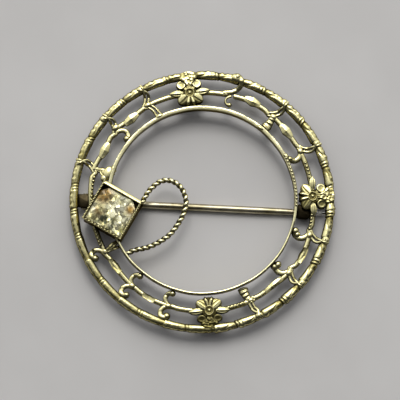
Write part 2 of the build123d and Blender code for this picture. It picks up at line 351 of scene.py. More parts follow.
# Hooks of the anchors: their width, how far their two strands part and over what length these
# cross, the radius of the ball at their end, and the points of their line as (clockwise along
# the ring, outward from the middle wire)
Hook = namedtuple("Hook", "width spread cross ball turns")
hooks = {
    "curl_out": Hook(
        0.58, 0, 0, 0.4,
        ((-0.4, 0.0), (0.3, 0.25), (0.62, 0.8), (0.45, 1.35), (0.05, 1.45), (-0.16, 1.22)),
    ),
    "double": Hook(
        0.7, 0.08, 1.5, 0,
        ((-0.5, 0.08), (-0.1, 0.3), (0.25, 0.75), (0.42, 1.3), (0.3, 1.85), (0.1, 2.4)),
    ),
    "sweep": Hook(
        0.6, 0, 0, 0.42,
        ((-1.3, 0.25), (-0.45, 0.55), (0.1, 1.1), (0.28, 1.65), (0.1, 2.15), (-0.3, 2.35)),
    ),
    "short": Hook(
        0.7, 0.02, 1.3, 0,
        ((-0.4, 0.02), (0.0, 0.1), (0.15, 0.5), (0.1, 1.0), (-0.1, 1.6), (-0.15, 2.35)),
    ),
    "curl_in": Hook(
        0.56, 0, 0, 0.38,
        ((-0.2, 0.05), (0.25, -0.15), (0.57, -0.5), (0.6, -0.95), (0.32, -1.36), (-0.04, -1.4)),
    ),
    "arm": Hook(
        0.66, 0.0, 0, 0.36,
        ((-0.6, 0.25), (0.0, 0.12), (0.55, -0.22), (0.8, -0.75), (0.68, -1.25), (0.36, -1.5)),
    ),
    "leaf": Hook(
        1.3, 0, 0, 0,
        ((0.05, 0.25), (0.2, -0.3), (0.3, -0.9), (0.3, -1.35), (0.25, -1.65)),
    ),
    "stray": Hook(
        0.26, 0, 0, 0.28,
        ((-0.3, 0.1), (-0.72, -0.15), (-0.92, -0.55), (-0.75, -0.95), (-0.34, -1.0)),
    ),
    "touch": Hook(
        0.62, 0.1, 0, 0,
        ((-0.3, 0.08), (0.12, -0.06), (0.4, -0.45), (0.58, -1.0), (0.66, -1.6)),
    ),
    "stub": Hook(
        0.56, 0.05, 0, 0,
        ((-0.2, 0.3), (0.0, -0.1), (0.02, -0.6), (0.0, -1.2)),
    ),
}

# Cuts of the lozenges
Cut = namedtuple("Cut", "length width rise dish")
cuts = {
    "ridged": Cut(1.9, 1.06, 0.12, 0.0),
    "dished": Cut(1.85, 0.86, 0.0, 0.12),
    "long": Cut(2.4, 0.7, 0.1, 0.0),
    "small": Cut(1.5, 0.66, 0.0, 0.06),
}

# Lumps of solder and gilding where hooks meet the rims and the wire
Lump = namedtuple("Lump", "angle radius height along across squash")
lumps = [
    Lump(47.5, 10.55, 2.33, 0.42, 0.2, 0.9),
    Lump(24.0, 10.7, 2.3, 0.4, 0.26, 0.8),
    Lump(112.9, 10.75, 2.25, 0.5, 0.26, 0.8),
    Lump(70.5, 14.62, 1.9, 0.75, 0.55, 0.65),
    Lump(135.9, 12.9, 1.6, 0.5, 0.4, 0.7),
    Lump(159.0, 14.5, 1.95, 0.42, 0.42, 0.55),
    Lump(160.2, 11.0, 2.1, 0.85, 0.6, 0.38),
    Lump(163.6, 11.3, 2.05, 0.5, 0.42, 0.5),
    Lump(156.6, 10.6, 2.2, 0.6, 0.32, 0.7),
    Lump(-22.0, 11.0, 1.72, 0.42, 0.42, 0.8),
    Lump(-23.6, 11.35, 1.66, 0.36, 0.36, 0.8),
    Lump(-44.6, 11.15, 1.7, 0.46, 0.4, 0.8),
    Lump(-46.8, 11.0, 1.7, 0.38, 0.46, 0.8),
    Lump(136.5, 14.5, 1.95, 0.45, 0.45, 0.55),
    Lump(115.2, 14.5, 1.95, 0.42, 0.42, 0.55),
    Lump(46.5, 14.6, 1.95, 0.45, 0.45, 0.55),
    Lump(23.0, 14.55, 1.95, 0.42, 0.42, 0.55),
    Lump(-22.0, 14.55, 1.95, 0.5, 0.45, 0.6),
    Lump(-44.2, 14.55, 1.95, 0.55, 0.45, 0.6),
    Lump(-67.8, 14.5, 1.95, 0.5, 0.45, 0.6),
]
wire_lumps = [
    (115.5, 12.6, 0.5), (46.2, 12.6, 0.45), (23.2, 12.5, 0.45), (-21.8, 12.7, 0.45), (-44.0, 12.7, 0.45),
    (-68.2, 12.5, 0.4), (-111.5, 12.5, 0.45), (-133.0, 12.45, 0.45), (-155.8, 12.35, 0.45),
]
lumps += [Lump(angle, radius, 1.6, along, 0.36, 0.7) for angle, radius, along in wire_lumps]


# Setting: its place, and where rings of a given radius run into its walls
setting_centre = polar(wire_radius - setting_inset, setting_angle, ring_back)
setting_x = polar(1, setting_turn)
setting_y = polar(1, setting_turn + 90)


def in_setting(point, room):
    """Whether a point is inside the setting's outer walls, grown by room."""
    away = point - setting_centre
    half = setting_side / 2 + room
    return abs(away @ setting_x) < half and abs(away @ setting_y) < half


def setting_gap(radius):
    """The two angles, from the lower to the upper, between which a ring is inside the setting."""
    inside = [a for a in np.arange(120, 250, 0.1) if in_setting(polar(radius, a), -setting_wall / 2)]
    return min(inside), max(inside)


# Outer rim: how strong its ties, leaves and cones are on the bays between two angles, and how
# far its leaves slant
Stretch = namedtuple("Stretch", "start end tie leaf cone slant")
stretches = [
    Stretch(100, 190, 0.4, 0.5, 0.45, 0.3),
    Stretch(12, 100, 0.5, 0.65, 0.6, 0.8),
    Stretch(-78, 12, 0.9, 0.55, 1.1, 1.1),
    Stretch(-170, -78, 0.3, 0.14, 0.35, 0.3),
]


def rim_relief(bay, turn):
    """How far the outer rim's skin stands out of its core along the bays and round its section."""
    share = (bay % 1.0)[:, None]
    tie_angles = (first_tie - np.arange(bay_count) * 360 / bay_count + 170) % 360 - 170
    style = [next(row for row in stretches if row.start <= a < row.end) for a in tie_angles]
    ties, leaves, cones, slants = np.array([(row.tie, row.leaf, row.cone, row.slant) for row in style]).T
    anchor_angles = np.array([row.angle for row in placed("anchor")])
    away = np.abs((tie_angles[:, None] - anchor_angles[None, :] + 180) % 360 - 180).min(axis=1)
    this_bay = np.floor(bay).astype(int)
    this_tie = np.round(bay).astype(int) % bay_count
    slant = dice.uniform(0.5, 1.3, bay_count) * tie_slant
    tie_wear = np.where(away < anchor_clear, 0.0, ties * dice.uniform(0.8, 1.1, bay_count))
    bay_wear = (leaves * dice.uniform(0.8, 1.1, bay_count))[this_bay, None]
    cone = (cones * dice.uniform(0.6, 1.3, bay_count))[this_bay, None] * cone_rise
    leaf_slant = (slants * dice.uniform(0.7, 1.3, bay_count))[this_bay, None]
    shift = dice.uniform(-0.12, 0.12, bay_count)[this_bay, None]
    along = ((bay - np.round(bay)) * 2 * pi * rod_circle_radius / bay_count)[:, None]
    around = ((turn - 0.2 + 0.5) % 1 - 0.5) * 2 * pi * rod_radius
    from_tie = np.abs(along - slant[this_tie][:, None] * around)
    wear = tie_wear[this_tie][:, None]
    tie = swell(from_tie, tie_pair, tie_half, 4) * wear
    beside = swell(from_tie, tie_pair + 1.9 * tie_half, tie_half) * wear
    bent = 0.05 * np.sin(2 * pi * (2 * share + 3 * shift))
    phase = leaf_slant * (share - 0.5) + leaves_around * (turn - 0.25) + shift + bent
    from_groove = np.abs((phase + 0.5) % 1.0 - 0.5)
    fullness = np.sin(pi * np.clip((share - 0.03) / 0.94, 0, 1)) ** 0.35
    leaf_top = (1 - swell(from_groove, 0, groove_half)) * fullness
    rise = (leaf_top - 0.5) * bay_wear * leaf_rise + cone * (share - 0.5) + 0.03
    rise = np.maximum(rise, tie * tie_rise) - tie_groove * beside
    knobs = np.cos(2 * pi * (3 * share + 4 * shift)) + np.cos(2 * pi * (5 * share + 9 * shift))
    at_edge = swell(2 * pi * turn, 0.45, 0.6)
    return rise + edge_rise * knobs * at_edge * (0.4 + bay_wear)


def build_outer_rim(shape):
    columns = 48
    sides = 52
    bay = np.arange(bay_count * columns) / columns
    turn = (np.arange(sides) / sides)[None, :]
    rise = rim_relief(bay, turn)
    section = 2 * pi * turn
    corner = np.abs(np.cos(section)) ** rim_power + np.abs(np.sin(section)) ** rim_power
    reach = (rim_core + rise) * (1 + (corner ** (-1 / rim_power) - 1) * rim_fullness)
    degrees = first_tie - bay * 360 / bay_count
    for row in placed("flower"):
        if not is_bottom(row):
            from_flower = (degrees - row.angle + 180) % 360 - 180
            reach = reach - flower_bed * swell(from_flower, 0, flower_bed_half, 4)[:, None]
    angle = np.radians(degrees)[:, None]
    outward = rod_circle_radius + reach * np.cos(section)
    height = rod_height + reach * np.sin(section)
    points = np.stack([outward * np.cos(angle), outward * np.sin(angle), height], axis=-1)
    # The rod's lower half darkens as painted shade on the flank turned from the light, and the grooves of
    # its relief darken as dirt and painted shade.
    upper = np.clip(0.7 + 0.6 * np.sin(section), 0.2, 1)
    shape.grid(points, np.clip(0.5 + 6 * rise, 0, 1) * upper, along=True)


# Section of the inner rim from the bottom up: how far it is set in from the rim's faces, its
# height, and its crest values on the ring's inside and outside
Step = namedtuple("Step", "inset height inside outside")
strip_top = ring_back + strip_height
# The crest values fall towards the bottom: painted shade low on the strip, and wear bright at its top.
strip_steps = [
    Step(0.05, ring_back, 0.1, 0.1),
    Step(0.0, ring_back + 0.05, 0.5, 0.4),
    Step(0.0, ring_back + strip_height * 0.35, 0.75, 0.55),
    Step(0.015, ring_back + strip_height * 0.7, 0.8, 0.6),
    Step(0.0, strip_top - 0.1, 0.85, 0.7),
    Step(0.035, strip_top - 0.03, 1.0, 1.0),
]


def build_inner_rim(shape):
    low, high = setting_gap(strip_middle)
    angles = np.radians(np.arange(high, low + 360 + 0.25, 0.5))
    profile = [(strip_inside + row.inset, row.height, row.inside) for row in strip_steps]
    profile += [(strip_middle, strip_top, 1.0)]
    profile += [(strip_outside - row.inset, row.height, row.outside) for row in strip_steps[::-1]]
    profile = np.array(profile)
    wobble = 0.012 * np.sin(7 * angles + 1) + 0.01 * np.sin(17 * angles)
    sag = 0.015 * np.sin(5 * angles) + 0.01 * np.sin(23 * angles + 2)
    high_up = np.clip((profile[:, 1] - strip_top + 0.45) / 0.3, 0, 1)
    fuller = 0.1 * np.clip(0.4 + np.sin(angles), 0, 1)[:, None] * high_up
    side = np.sign(profile[:, 0] - strip_middle) * (0.5 + 0.5 * (profile[:, 0] > strip_middle))
    radius = profile[None, :, 0] + wobble[:, None] + fuller * side
    height = profile[None, :, 1] + sag[:, None] * (profile[None, :, 1] > ring_back + 0.5)
    points = [radius * np.cos(angles)[:, None], radius * np.sin(angles)[:, None], height]
    shape.grid(np.stack(points, axis=-1), profile[None, :, 2])
    beads(shape, arc(strip_middle + 0.05, 25, -7, strip_top - 0.02), 0.17, 0.4)


# Scrollwork
def on_ring(clockwise, outward, angle, height):
    """The place so far along and outside the middle wire, counted from an angle."""
    return polar(wire_radius + outward, angle - clockwise / wire_radius * 180 / pi, height)


def wire_outward(angle):
    """How far outside its circle the middle wire runs at an angle."""
    angles, shifts = zip(*[(row.angle, row.outward) for row in features])
    return np.interp(angle, angles, shifts, period=360)


# How far scrollwork is lifted at each distance outside the middle wire
climb_outward = (-1.8, -1.4, -1.0, 0.95, 1.5, 2.03, 2.5)
climb_lift = (0.45, 0.25, 0.0, 0.0, 0.35, 0.56, 0.28)


def climb(path):
    """The path again, lifted where it runs over the outer rim or up to the inner one."""
    outward = np.hypot(path[:, 0], path[:, 1]) - wire_radius
    return path + np.interp(outward, climb_outward, climb_lift)[:, None] * UP


def hook_line(hook, angle, height=wire_middle):
    """The points of a hook of the anchor at an angle."""
    return [on_ring(clockwise, outward, angle, height) for clockwise, outward in hook.turns]


def strands(shape, path, hook):
    """Two thin wires side by side, that part a little towards the end, or cross near it."""
    side, _ = directions(path)
    run = run_along(path)
    part = run / run[-1]
    turn = np.ones(len(run))
    if hook.cross:
        turn = np.cos(pi * np.clip(1 - (run[-1] - run) / hook.cross, 0, 1))
    for way in (-1, 1):
        shift = way * turn * (hook.width * 0.27 + hook.spread * part**1.5)
        wire(shape, path + side * shift[:, None], hook.width * 0.5, wire_height * 0.9, 14, 0.1)


def lies_flat(angle):
    """Whether the inner hook of the anchor at an angle stays low, as in the lower right quarter."""
    return -90 < angle < 0


def hook_end(shape, hook, angle, flat=False):
    """The ball at a hook's end."""
    if hook.ball:
        end = hook_line(hook, angle, wire_middle + 0.03)[-1]
        if not flat:
            end = climb(end[None])[0]
        ball(shape, end, hook.ball * dice.uniform(0.94, 1.05), 11, 18)


def middle_wire(shape, start, end):
    """The wire from one feature to the next, which ends in the outer hook of an anchor."""
    gap_low, gap_high = setting_gap(wire_radius)
    leave = {"flower": -flower_reach, "anchor": hook_leave, "setting": gap_low - 360 - start.angle}
    arrive = {"flower": flower_reach, "anchor": hook_arrive, "setting": gap_high - 360 - end.angle}
    turns = np.linspace(start.angle + leave[start.kind], end.angle + arrive[end.kind], 9)
    line = [polar(wire_radius + wire_outward(a), a, wire_middle) for a in turns]
    hook = hooks.get(end.outer)
    if hook:
        line += hook_line(hook, end.angle)
    path = climb(even_path(smooth_path(line), path_step))
    run = run_along(path)
    if hook and hook.spread:
        split = int(np.searchsorted(run, run[-1] - strand_length))
        wire(shape, path[: split + 4], wire_width, wire_height, round_ends=0.1)
        strands(shape, path[split:], hook)
    else:
        narrow = hook.width if hook else wire_width
        slim = np.clip((run[-1] - run) / slim_length, 0, 1)
        wire(shape, path, narrow + (wire_width - narrow) * slim, wire_height, round_ends=0.12)


def inner_hook(shape, row):
    """The hook from an anchor to the inner rim."""
    hook = hooks[row.inner]
    path = even_path(smooth_path(hook_line(hook, row.angle)), path_step)
    if not lies_flat(row.angle):
        path = climb(path)
    if row.inner == "leaf":
        club(shape, path, hook.width, club_rise)
    elif hook.spread:
        strands(shape, path, hook)
    else:
        wire(shape, path, hook.width, wire_height * 0.94, round_ends=0.12)
    hook_end(shape, hook, row.angle, lies_flat(row.angle))


def build_scrollwork(shape):
    stops = [row for row in features if row.kind != "lozenge"]
    for start, end in zip(stops, stops[1:] + [stops[0]._replace(angle=stops[0].angle - 360)]):
        middle_wire(shape, start, end)
    for row in placed("anchor"):
        hook_end(shape, hooks[row.outer], row.angle)
        inner_hook(shape, row)
    for row in lumps:
        centre = polar(row.radius, row.angle, row.height)
        ball(shape, centre, (row.across, row.along), 11, 20, row.squash, row.angle)
    for first, last in milgrained:
        line = arc(wire_radius + 0.03, first, last, wire_top - 0.02)
        line = np.array([point for point in line if not in_setting(point, 0.1)])
        beads(shape, line, bead_radius, bead_pitch)


def build_lozenges(shape):
    """Diamonds on the middle wire, the top cut to a low ridge and two slopes, or dished."""
    along = np.linspace(-1, 1, 33)
    across = np.array([-0.92, -1.0, -0.95, -0.6, -0.25, 0.0, 0.25, 0.6, 0.95, 1.0, 0.92, 0.0])
    shelf = np.array([0.0, 0.86, 1.0, 1.0, 1.0, 1.0, 1.0, 1.0, 1.0, 0.86, 0.0, 0.0])
    ridge = np.array([0.0, 0.0, 0.0, 0.37, 0.74, 1.0, 0.74, 0.37, 0.0, 0.0, 0.0, 0.0])
    dip = np.array([0.0, 0.0, 0.0, 0.8, 1.0, 1.0, 1.0, 0.8, 0.0, 0.0, 0.0, 0.0])
    neck = wire_width / 2 - 0.04
    for row in placed("lozenge"):
        cut = cuts[row.outer]
        half = neck + (cut.width / 2 - neck) * (1 - np.abs(along)) ** 0.9
        fullness = (1 - np.abs(along)) ** 0.8
        radial = polar(1, row.angle)
        clockwise = np.array([radial[1], -radial[0], 0.0])
        origin = polar(wire_radius + row.outward, row.angle)
        top = fullness[:, None] * (ridge * cut.rise - dip * cut.dish)[None, :]
        points = (
            origin
            + clockwise * (along * cut.length / 2)[:, None, None]
            + radial * (half[:, None] * across[None, :])[:, :, None]
            + UP * (wire_bottom + shelf * (wire_height + 0.06) + top)[:, :, None]
        )
        # Dark sides and darker dished tops are painted shade; the flat tops wear bright.
        crest = np.clip(0.05 + 0.62 * shelf + 0.3 * ridge - dip * cut.dish * 2, 0, 1)
        shape.grid(points, crest[None, :])


# Flowers: lobes about the middle, at a turn from the ring's outward direction. low is a height
# over the flower's base, or over its dome for ribs and petals
Lobe = namedtuple("Lobe", "kind turn middle length width low rise skew")
lobes = [
    Lobe("rib", 166, 1.0, 0.62, 0.23, 0.0, 0.12, 0),
    Lobe("rib", 195, 1.0, 0.62, 0.23, 0.0, 0.12, 0),
    Lobe("petal", 129, 1.04, 0.7, 0.6, -0.02, 0.15, -0.3),
    Lobe("petal", 231, 1.04, 0.7, 0.6, -0.02, 0.15, 0.3),
    Lobe("disc", 42, 1.34, 0.54, 0.54, 0.8, 0.035, 0),
    Lobe("disc", 318, 1.34, 0.54, 0.54, 0.8, 0.035, 0),
    Lobe("leaf", 88, 1.4, 0.95, 0.38, 0.8, 0.14, 0),
    Lobe("leaf", 272, 1.4, 0.95, 0.38, 0.8, 0.14, 0),
    Lobe("fan", 0, 1.52, 1.05, 1.02, 0.93, 0.07, 0),
]

# Grains of the fan: how far out and how far aside they sit, and their radius
grain_dice = np.random.default_rng(4)
fan_grains = grain_dice.uniform((0.85, -0.9, 0.11), (2.45, 0.9, 0.22), (34, 3))

# Heights over the flower's base, and radii of the boss
flower_base = ring_back + 0.1
flower_floor = 0.16
fan_start = 0.7
short_fan = 1.35
rim_out = rod_circle_radius - wire_radius
flower_top = 1.02
flower_fall = 0.06
boss_ring = 0.47
boss_ring_half = 0.08
boss_bowl = 0.16
boss_grain = 0.2


def leaf_lobe(row, part, off):
    """A pointed leaf with a ridge down its middle and raised edges."""
    half = row.width * np.sin(pi * np.clip(part / 2 + 0.5, 0, 1) ** 1.1) ** 0.8 + 1e-6
    edge = off / half
    top = row.low + row.rise * (1 - edge) + 0.04 * swell(edge, 0.8, 0.15) - 0.12 * part**2
    crest = 0.7 + 0.3 * swell(edge, 0, 0.3) + 0.25 * swell(edge, 0.85, 0.15)
    return (edge < 1) & (np.abs(part) < 1), top, crest


def fan_lobe(row, part, out, offset):
    """A grained fan that spreads out over the outer rim."""
    spread = np.clip((out - 0.9) / 0.9, 0, 1)
    half = row.width * (0.36 + 0.64 * spread**2 * (3 - 2 * spread))
    edge = np.abs(offset) / half
    folds = np.cos(1.5 * pi * edge) ** 2
    knobs = np.zeros(np.shape(out))
    for place_out, place_off, size in fan_grains:
        apart = np.hypot(out - place_out, offset - place_off) / size
        knobs = np.maximum(knobs, np.sqrt(np.clip(1 - apart**2, 0, 1)))
    over_rim = rod_height - flower_base + np.sqrt(np.clip(0.62**2 - (out - rim_out) ** 2, 0, 1))
    top = row.low - 0.08 * part - 0.08 * edge**4
    top = np.where(out > rim_out, np.minimum(top, over_rim), top) + row.rise * (0.3 * folds + knobs)
    return (edge < 1) & (np.abs(part) < 1), top, 0.42 + 0.1 * folds + 0.4 * knobs


def disc_lobe(row, part, off, out, dome):
    """A low disc with a raised ring, on a narrow neck."""
    edge = np.sqrt(part**2 + (off / row.width) ** 2)
    top = row.low + row.rise * swell(edge, 0.72, 0.22) - 0.09 * part - 0.3 * np.clip(edge - 0.85, 0, 1)
    neck = (off < 0.14) & (out > 0.5) & (out < row.middle)
    crest = np.where(edge < 1, 0.52 + 0.3 * swell(edge, 0.7, 0.25), 0.5)
    return (edge < 1) | neck, np.where(edge < 1, top, dome), crest


def round_lobe(row, part, offset, dome):
    """A long rib, or a petal with a crease along it, a short steep side and fine veins."""
    edge = np.sqrt(part**2 + (offset / row.width) ** 2)
    across = offset / (row.width * np.sqrt(np.clip(1 - part**2, 1e-6, 1)))
    fall = 0.1 * np.clip(edge - 0.8, 0, 1)
    if row.kind == "rib":
        climb_out = 0.09 * np.minimum(part, 0.3) - 0.2 * np.clip(part - 0.3, 0, 1)
        top = dome + row.low + row.rise * (1 - across**2) + climb_out - fall
        return edge < 1, top, 1.0 - 0.6 * across**2
    from_leaf = -across * np.sign(row.skew)
    crease = abs(row.skew)
    steep = np.clip((-crease - from_leaf) / (1 - crease), 0, 1)
    gentle = np.clip((from_leaf + crease) / (1 + crease), 0, 1)
    veins = np.cos(11 * across)
    top = dome + row.low - row.rise * steep**1.2 - 0.35 * row.rise * gentle + 0.012 * veins - fall
    return edge < 1, top, 0.48 + 0.08 * veins + 0.48 * swell(from_leaf, -crease - 0.25, 0.4)


def lobe_form(row, x, y):
    """A lobe's height over the points x, y, below 0 where it has none, and its crest values."""
    turn = radians(row.turn)
    out = x * cos(turn) + y * sin(turn)
    offset = -x * sin(turn) + y * cos(turn)
    part = (out - row.middle) / row.length
    dome = flower_top - flower_fall * (x**2 + y**2)
    if row.kind == "leaf":
        inside, top, crest = leaf_lobe(row, part, np.abs(offset))
    elif row.kind == "fan":
        inside, top, crest = fan_lobe(row, part, out, offset)
    elif row.kind == "disc":
        inside, top, crest = disc_lobe(row, part, np.abs(offset), out, dome)
    else:
        inside, top, crest = round_lobe(row, part, offset, dome)
    return np.where(inside, top, -1.0), crest


def flower_form(x, y, short):
    """The flower's top over its base, below 0 outside it, and its crest values. short is how
    much its fan is drawn in."""
    x = np.where(x > fan_start, fan_start + (x - fan_start) * short, x)
    middle = np.hypot(x, y)
    top = np.where((x < 0.1 * middle) & (middle < 1.5), flower_top - 0.16 - flower_fall * middle**2, -1.0)
    top = np.where(middle < 0.8, np.maximum(top, flower_top - 0.14), top)
    crest = np.full(np.shape(x), 0.2)
    for row in lobes:
        lobe_top, lobe_crest = lobe_form(row, x, y)
        # The bottom flower's fan and discs get lower crest values: painted shade on slopes turned from the
        # light.
        if row.kind in ("fan", "disc"):
            lobe_crest = lobe_crest / short**2
        crest = np.where(lobe_top > top, lobe_crest, crest)
        top = np.maximum(top, lobe_top)
    bowl = boss_ring + boss_ring_half
    ring = np.sqrt(np.clip(1 - ((middle - boss_ring) / boss_ring_half) ** 2, 0, 1))
    hollow = boss_bowl * np.clip(1 - (middle / boss_ring) ** 2, 0, 1)
    crest = np.where(middle < bowl, 0.42 + 0.2 * ring, crest)
    top = np.where(middle < bowl, flower_top - hollow + 0.05 * ring, top)
    grain = flower_top - 0.14 + np.sqrt(np.clip(boss_grain**2 - middle**2, 0, 1))
    crest = np.where(middle < boss_grain, 1.0, crest)
    return np.where(middle < boss_grain, grain, top), crest


def on_flower(row, x, y, height):
    """Places over a flower's base, x outward from the ring and y anticlockwise."""
    radial = polar(1, row.angle)
    anticlockwise = np.array([-radial[1], radial[0], 0.0])
    origin = polar(wire_radius, row.angle, flower_base)
    return origin + radial * x[..., None] + anticlockwise * y[..., None] + UP * height[..., None]


def build_flowers(shape):
    turns = np.radians(np.arange(0, 360, 1.5))
    way_x = np.cos(turns)
    way_y = np.sin(turns)
    reach = np.linspace(0.2, 2.5, 320)[:, None]
    inner = np.linspace(0.03, 0.6, 15)[:, None]
    steps = np.linspace(0.985, 0.0, 30)[:, None]
    for row in placed("flower"):
        short = short_fan if is_bottom(row) else 1.0
        found, _ = flower_form(reach * way_x, reach * way_y, short)
        outline = np.where(found > 0, reach, 0.0).max(axis=0)
        rings = np.vstack([inner + np.zeros(len(turns)), 0.62 + (outline - 0.62) * (1 - steps)])
        rings = np.minimum(rings, outline * 0.985)
        top, crest = flower_form(rings * way_x, rings * way_y, short)
        top = np.maximum(top, flower_floor)
        cover = [on_flower(row, rings * way_x, rings * way_y, top)]
        for height in (np.maximum(top[-1] - 0.12, flower_floor), np.zeros(len(turns))):
            cover.append(on_flower(row, outline * way_x, outline * way_y, height)[None])
        # The skirt round the flower down to its base gets low crest values: painted shade.
        edges = np.outer((0.3, 0.05), np.ones(len(turns)))
        shape.grid(np.concatenate(cover), np.vstack([np.clip(crest, 0, 1), edges]))


# Setting: sections of its walls from the bottom up over the top and down inside, with heights
# over the ring's back. The opening is moved so that the wall facing +y is the broadest
Level = namedtuple("Level", "length width shift height corner crest")
# Low crest values at the foot, in the grooves and inside the opening paint shade there.
setting_levels = [
    Level(4.78, 4.78, 0.0, 0.0, 0.06, 0.1),
    Level(4.9, 4.9, 0.0, 0.06, 0.1, 0.7),
    Level(4.9, 4.9, 0.0, 0.5, 0.1, 0.85),
    Level(4.84, 4.84, 0.0, 0.56, 0.1, 0.35),
    Level(4.82, 4.82, 0.0, 0.72, 0.1, 0.7),
    Level(4.82, 4.82, 0.0, 2.6, 0.1, 0.75),
    Level(4.84, 4.84, 0.0, 2.76, 0.1, 0.4),
    Level(4.94, 4.94, 0.0, 2.82, 0.1, 0.8),
    Level(4.98, 4.98, 0.0, 2.93, 0.1, 0.9),
    Level(4.92, 4.92, 0.0, 3.0, 0.06, 1.0),
    Level(4.66, 4.5, -0.1, 3.1, 0.05, 1.0),
    Level(4.58, 4.42, -0.12, 3.08, 0.04, 0.9),
    Level(4.56, 4.38, -0.12, 2.92, 0.04, 0.2),
    Level(4.3, 4.22, -0.06, 2.8, 0.04, 0.1),
    Level(4.22, 4.22, 0.0, 1.86, 0.04, 0.0),
    Level(3.62, 3.62, 0.0, 1.85, 0.04, 0.0),
    Level(3.62, 3.62, 0.0, 0.3, 0.04, 0.0),
]


# Leaves beside the setting's upper and lower corners
CornerLeaf = namedtuple("CornerLeaf", "x y height turn length width")
corner_leaves = [
    CornerLeaf(-11.7, 4.35, 1.75, -20, 2.2, 0.75),
    CornerLeaf(-11.25, 4.3, 1.9, -62, 1.5, 0.6),
    CornerLeaf(-10.4, 3.75, 1.85, 15, 1.0, 0.5),
    CornerLeaf(-11.2, -4.95, 1.7, 33, 2.1, 0.6),
    CornerLeaf(-10.6, -4.75, 1.6, 5, 1.1, 0.45),
]


def box_ring(length, width, corner):
    """Points round a rectangle with rounded corners, about its middle."""
    points = []
    for quarter, (x_side, y_side) in enumerate(((1, 1), (-1, 1), (-1, -1), (1, -1))):
        middle = np.array([x_side * (length / 2 - corner), y_side * (width / 2 - corner)])
        for turn in np.linspace(90 * quarter, 90 * quarter + 90, 5):
            points.append(middle + corner * polar(1, turn)[:2])
    return np.array(points)


def on_setting(flat, height):
    """Places over the setting, from rows of x and y along its walls."""
    return setting_centre + setting_x * flat[:, :1] + setting_y * flat[:, 1:] + UP * height


def build_setting(shape):
    rings = []
    for row in setting_levels:
        flat = box_ring(row.length, row.width, row.corner) + (0, row.shift)
        rings.append(on_setting(flat, row.height))
    shape.grid(np.array(rings), np.array([row.crest for row in setting_levels])[:, None])
    edge = setting_side / 2 - 0.06
    corners = edge * np.array([(1, 1), (1, -1), (-1, -1), (-1, 1)])
    for wall, size in enumerate((0.1, 0.13, 0.13)):
        start, end = on_setting(corners[wall : wall + 2], setting_height - 0.03)
        beads(shape, np.array([start, (start + end) / 2, end]), size, 3 * size)
    for row in corner_leaves:
        start = np.array([row.x, row.y, row.height])
        reach = polar(row.length, row.turn)
        sag = UP * 0.1 * row.length
        leaf(shape, [start, start + reach / 2 + sag, start + reach], row.width, 0.2)


# Stone: its sections from the culet up to the table, with heights over the ring's back. The two
# corners at +y are cut off
Facet = namedtuple("Facet", "share height crest")
stone_facets = [
    Facet(0.2, 0.92, 0.3),
    Facet(0.76, 2.1, 0.5),
    Facet(0.98, 2.7, 0.6),
    Facet(1.0, 2.78, 0.7),
    Facet(0.99, 2.86, 0.8),
    Facet(0.93, 2.93, 0.9),
    Facet(0.7, 3.0, 1.0),
    Facet(0.35, 3.03, 1.0),
    Facet(0.05, 3.04, 1.0),
]
stone_length = 4.5
stone_width = 4.34
stone_shift = -0.12
stone_cut = 0.8
stone_bumps = 0.014


def build_stone(shape):
    x = stone_length / 2
    y = stone_width / 2
    cut_x = x - stone_cut
    cut_y = y - stone_cut
    corners = np.array([(-x, -y), (x, -y), (x, cut_y), (cut_x, y), (-cut_x, y), (-x, cut_y)])
    steps = np.linspace(0, 1, 12, endpoint=False)[:, None]
    edges = zip(corners, np.roll(corners, -1, axis=0))
    outline = np.concatenate([start + (end - start) * steps for start, end in edges])
    rings = []
    for row in stone_facets:
        flat = outline * row.share
        bumps = np.sin(5.1 * flat[:, 0] + 2 * outline[:, 1]) * np.sin(4.3 * flat[:, 1])
        height = row.height + stone_bumps * bumps * (row.height > 2.9)
        rings.append(on_setting(flat + (0, stone_shift), height[:, None]))
    shape.grid(np.array(rings), np.array([row.crest for row in stone_facets])[:, None])


# Loop: x and y of the points that its centreline passes through
loop_points = [
    (-6.95, -0.09), (-6.55, 0.51), (-5.84, 1.5), (-4.76, 2.33),
    (-3.99, 2.52), (-3.26, 2.37), (-2.63, 1.95), (-2.1, 1.2),
    (-1.83, -0.04), (-2.2, -1.42), (-3.02, -2.69), (-3.98, -3.74),
    (-5.28, -4.51), (-6.57, -4.98), (-7.92, -5.18), (-8.97, -5.56),
]


def build_loop(shape):
    path = smooth_path([(x, y, loop_height) for x, y in loop_points], 12)
    path = even_path(path, strand_pitch / 26)
    side, normal = directions(path)
    run = run_along(path)
    for start in (0.0, pi):
        turn = (run / strand_pitch * 2 * pi + start)[:, None]
        strand = path + strand_offset * (np.cos(turn) * side + np.sin(turn) * normal)
        # Only the tops of the twist stay bright: painted highlights, with painted shade in the gaps.
        high = np.clip(0.25 + np.sin(turn), 0.03, 1)
        thick = 2 * strand_radius * (1 + 0.2 * np.sin(turn[:, 0]))
        wire(shape, strand, thick, thick, sides=12, wear=high)


# Hinge, stem and catch
hinge_point = np.array(joint["pos_m"]) / MM
stem_across = np.array(joint["axis"], float)
stem_along = np.cross(stem_across, UP)
stem_length = 24.6686
stem_radius = 0.4
catch_radius = 0.34
tip_radius = 0.07
taper_length = 4.0
catch_length = 1.2
tip_overrun = 2.9
point_length = 1.9
knuckle_radius = 0.43
knuckle_width = 0.8
stem_start = 0.28
bore_radius = 0.25
ear_thickness = 0.3
side_gap = 0.05
sheet = 0.3
plate_edge = 0.04
plate_overlap = 0.45
block_edge = 0.05
catch_bore = 0.48
catch_outside = catch_bore + sheet
throat_turn = 38.05
stem_height = hinge_point[2]


